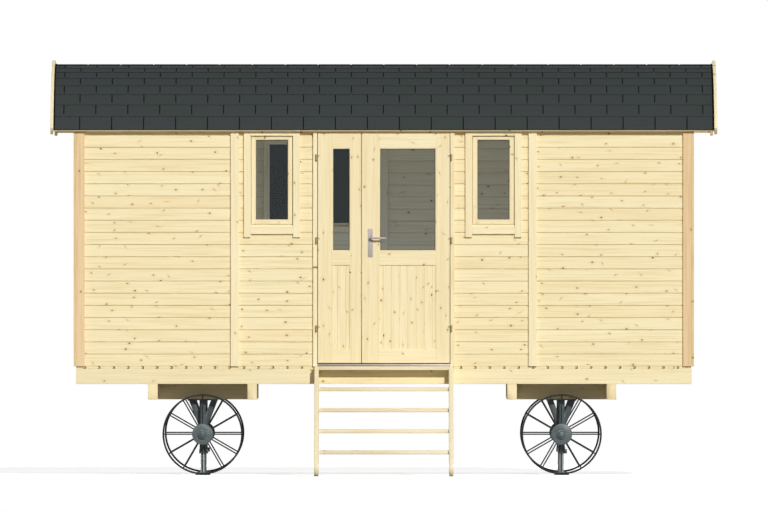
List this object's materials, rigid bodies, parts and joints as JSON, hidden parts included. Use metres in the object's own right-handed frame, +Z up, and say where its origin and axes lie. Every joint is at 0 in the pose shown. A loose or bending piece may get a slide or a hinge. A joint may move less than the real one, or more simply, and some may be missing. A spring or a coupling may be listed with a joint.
{
  "type": "shepherds hut",
  "caption": "Wooden hut with a shingled barrel roof on spoked steel wheels and braced telescopic legs, with a double door, windows and front steps.",
  "frame": {"origin": "on the ground, in the middle of the bounding box, steps included; the hut's own middle lies behind it by half of what the steps reach further out than the roof's rear eave", "axes": "+X to the right along the hut as seen from the door side, -Y out of the door, +Z up"},
  "size_m": [5.2, 3.3202, 3.2473],
  "materials": {
    "spruce": "planed, untreated",
    "beam_wood": "planed, untreated",
    "step_wood": "planed, untreated",
    "shingles": "mineral-surfaced bitumen",
    "wheel_steel": "satin dark grey",
    "leg_steel": "satin grey",
    "galvanised_steel": "galvanised",
    "glass": "clear",
    "handle_metal": "satin",
    "hinge_metal": "satin",
    "threshold_metal": "anodised"
  },
  "bodies": {
    "hut": {"barge_boards": "spruce", "corner_boards": "spruce", "cross_beams": "beam_wood", "door_frame": "spruce", "door_threshold": "threshold_metal", "floor_boards": "spruce", "floor_end_beams": "beam_wood", "floor_joists": "beam_wood", "floor_long_beams": "beam_wood", "frame_hinges": "hinge_metal", "front_wall_left": "spruce", "front_wall_over_door": "spruce", "front_wall_right": "spruce", "gable_wall_left": "spruce", "gable_wall_right": "spruce", "inside_battens": "spruce", "leg_front_left": "leg_steel", "leg_front_right": "leg_steel", "leg_rear_left": "leg_steel", "leg_rear_right": "leg_steel", "outside_battens": "spruce", "rear_wall": "spruce", "roof_boards": "spruce", "roof_ribs": "spruce", "roof_shingles": "shingles", "spacer_beams": "beam_wood", "step_stringers": "step_wood", "step_treads": "step_wood", "wall_plates": "spruce", "window_casings": "spruce", "window_frames": "spruce", "window_panes": "glass"},
    "narrow_door": {"narrow_door_leaf": "spruce", "narrow_door_glass": "glass", "narrow_door_hinges": "hinge_metal"},
    "main_door": {"main_door_leaf": "spruce", "main_door_glass": "glass", "main_door_hinges": "hinge_metal", "handle_plates": "handle_metal"},
    "lever": {"door_lever": "handle_metal"},
    "wheel_front_left": {"wheel_front_left": "wheel_steel"},
    "foot_front_left": {"foot_front_left": "galvanised_steel"},
    "wheel_front_right": {"wheel_front_right": "wheel_steel"},
    "foot_front_right": {"foot_front_right": "galvanised_steel"},
    "wheel_rear_left": {"wheel_rear_left": "wheel_steel"},
    "foot_rear_left": {"foot_rear_left": "galvanised_steel"},
    "wheel_rear_right": {"wheel_rear_right": "wheel_steel"},
    "foot_rear_right": {"foot_rear_right": "galvanised_steel"}
  },
  "joints": [
    {"name": "narrow_door_hinge", "type": "hinge", "parent": "hut", "child": "narrow_door", "pos_m": [-0.526, -0.72061, 0.877], "axis": [0, 0, -1], "range_deg": [0, 110]},
    {"name": "main_door_hinge", "type": "hinge", "parent": "hut", "child": "main_door", "pos_m": [0.526, -0.72061, 0.877], "axis": [0, 0, 1], "range_deg": [0, 110]},
    {"name": "lever_turn", "type": "hinge", "parent": "main_door", "child": "lever", "pos_m": [-0.104, -0.71111, 1.85], "axis": [0, 1, 0], "range_deg": [0, 40], "stiffness_Nm_per_rad": 1.2, "springref_deg": -28.65},
    {"name": "wheel_front_left_spin", "type": "hinge", "parent": "hut", "child": "wheel_front_left", "pos_m": [-1.414, -0.52811, 0.32], "axis": [0, 1, 0], "continuous": true},
    {"name": "wheel_front_right_spin", "type": "hinge", "parent": "hut", "child": "wheel_front_right", "pos_m": [1.388, -0.52811, 0.32], "axis": [0, 1, 0], "continuous": true},
    {"name": "wheel_rear_left_spin", "type": "hinge", "parent": "hut", "child": "wheel_rear_left", "pos_m": [-1.414, 1.39989, 0.32], "axis": [0, 1, 0], "continuous": true},
    {"name": "wheel_rear_right_spin", "type": "hinge", "parent": "hut", "child": "wheel_rear_right", "pos_m": [1.388, 1.39989, 0.32], "axis": [0, 1, 0], "continuous": true},
    {"name": "foot_front_left_slide", "type": "slide", "parent": "hut", "child": "foot_front_left", "axis": [0, 0, 1], "range_m": [0, 0.12]},
    {"name": "foot_front_right_slide", "type": "slide", "parent": "hut", "child": "foot_front_right", "axis": [0, 0, 1], "range_m": [0, 0.12]},
    {"name": "foot_rear_left_slide", "type": "slide", "parent": "hut", "child": "foot_rear_left", "axis": [0, 0, 1], "range_m": [0, 0.12]},
    {"name": "foot_rear_right_slide", "type": "slide", "parent": "hut", "child": "foot_rear_right", "axis": [0, 0, 1], "range_m": [0, 0.12]}
  ]
}
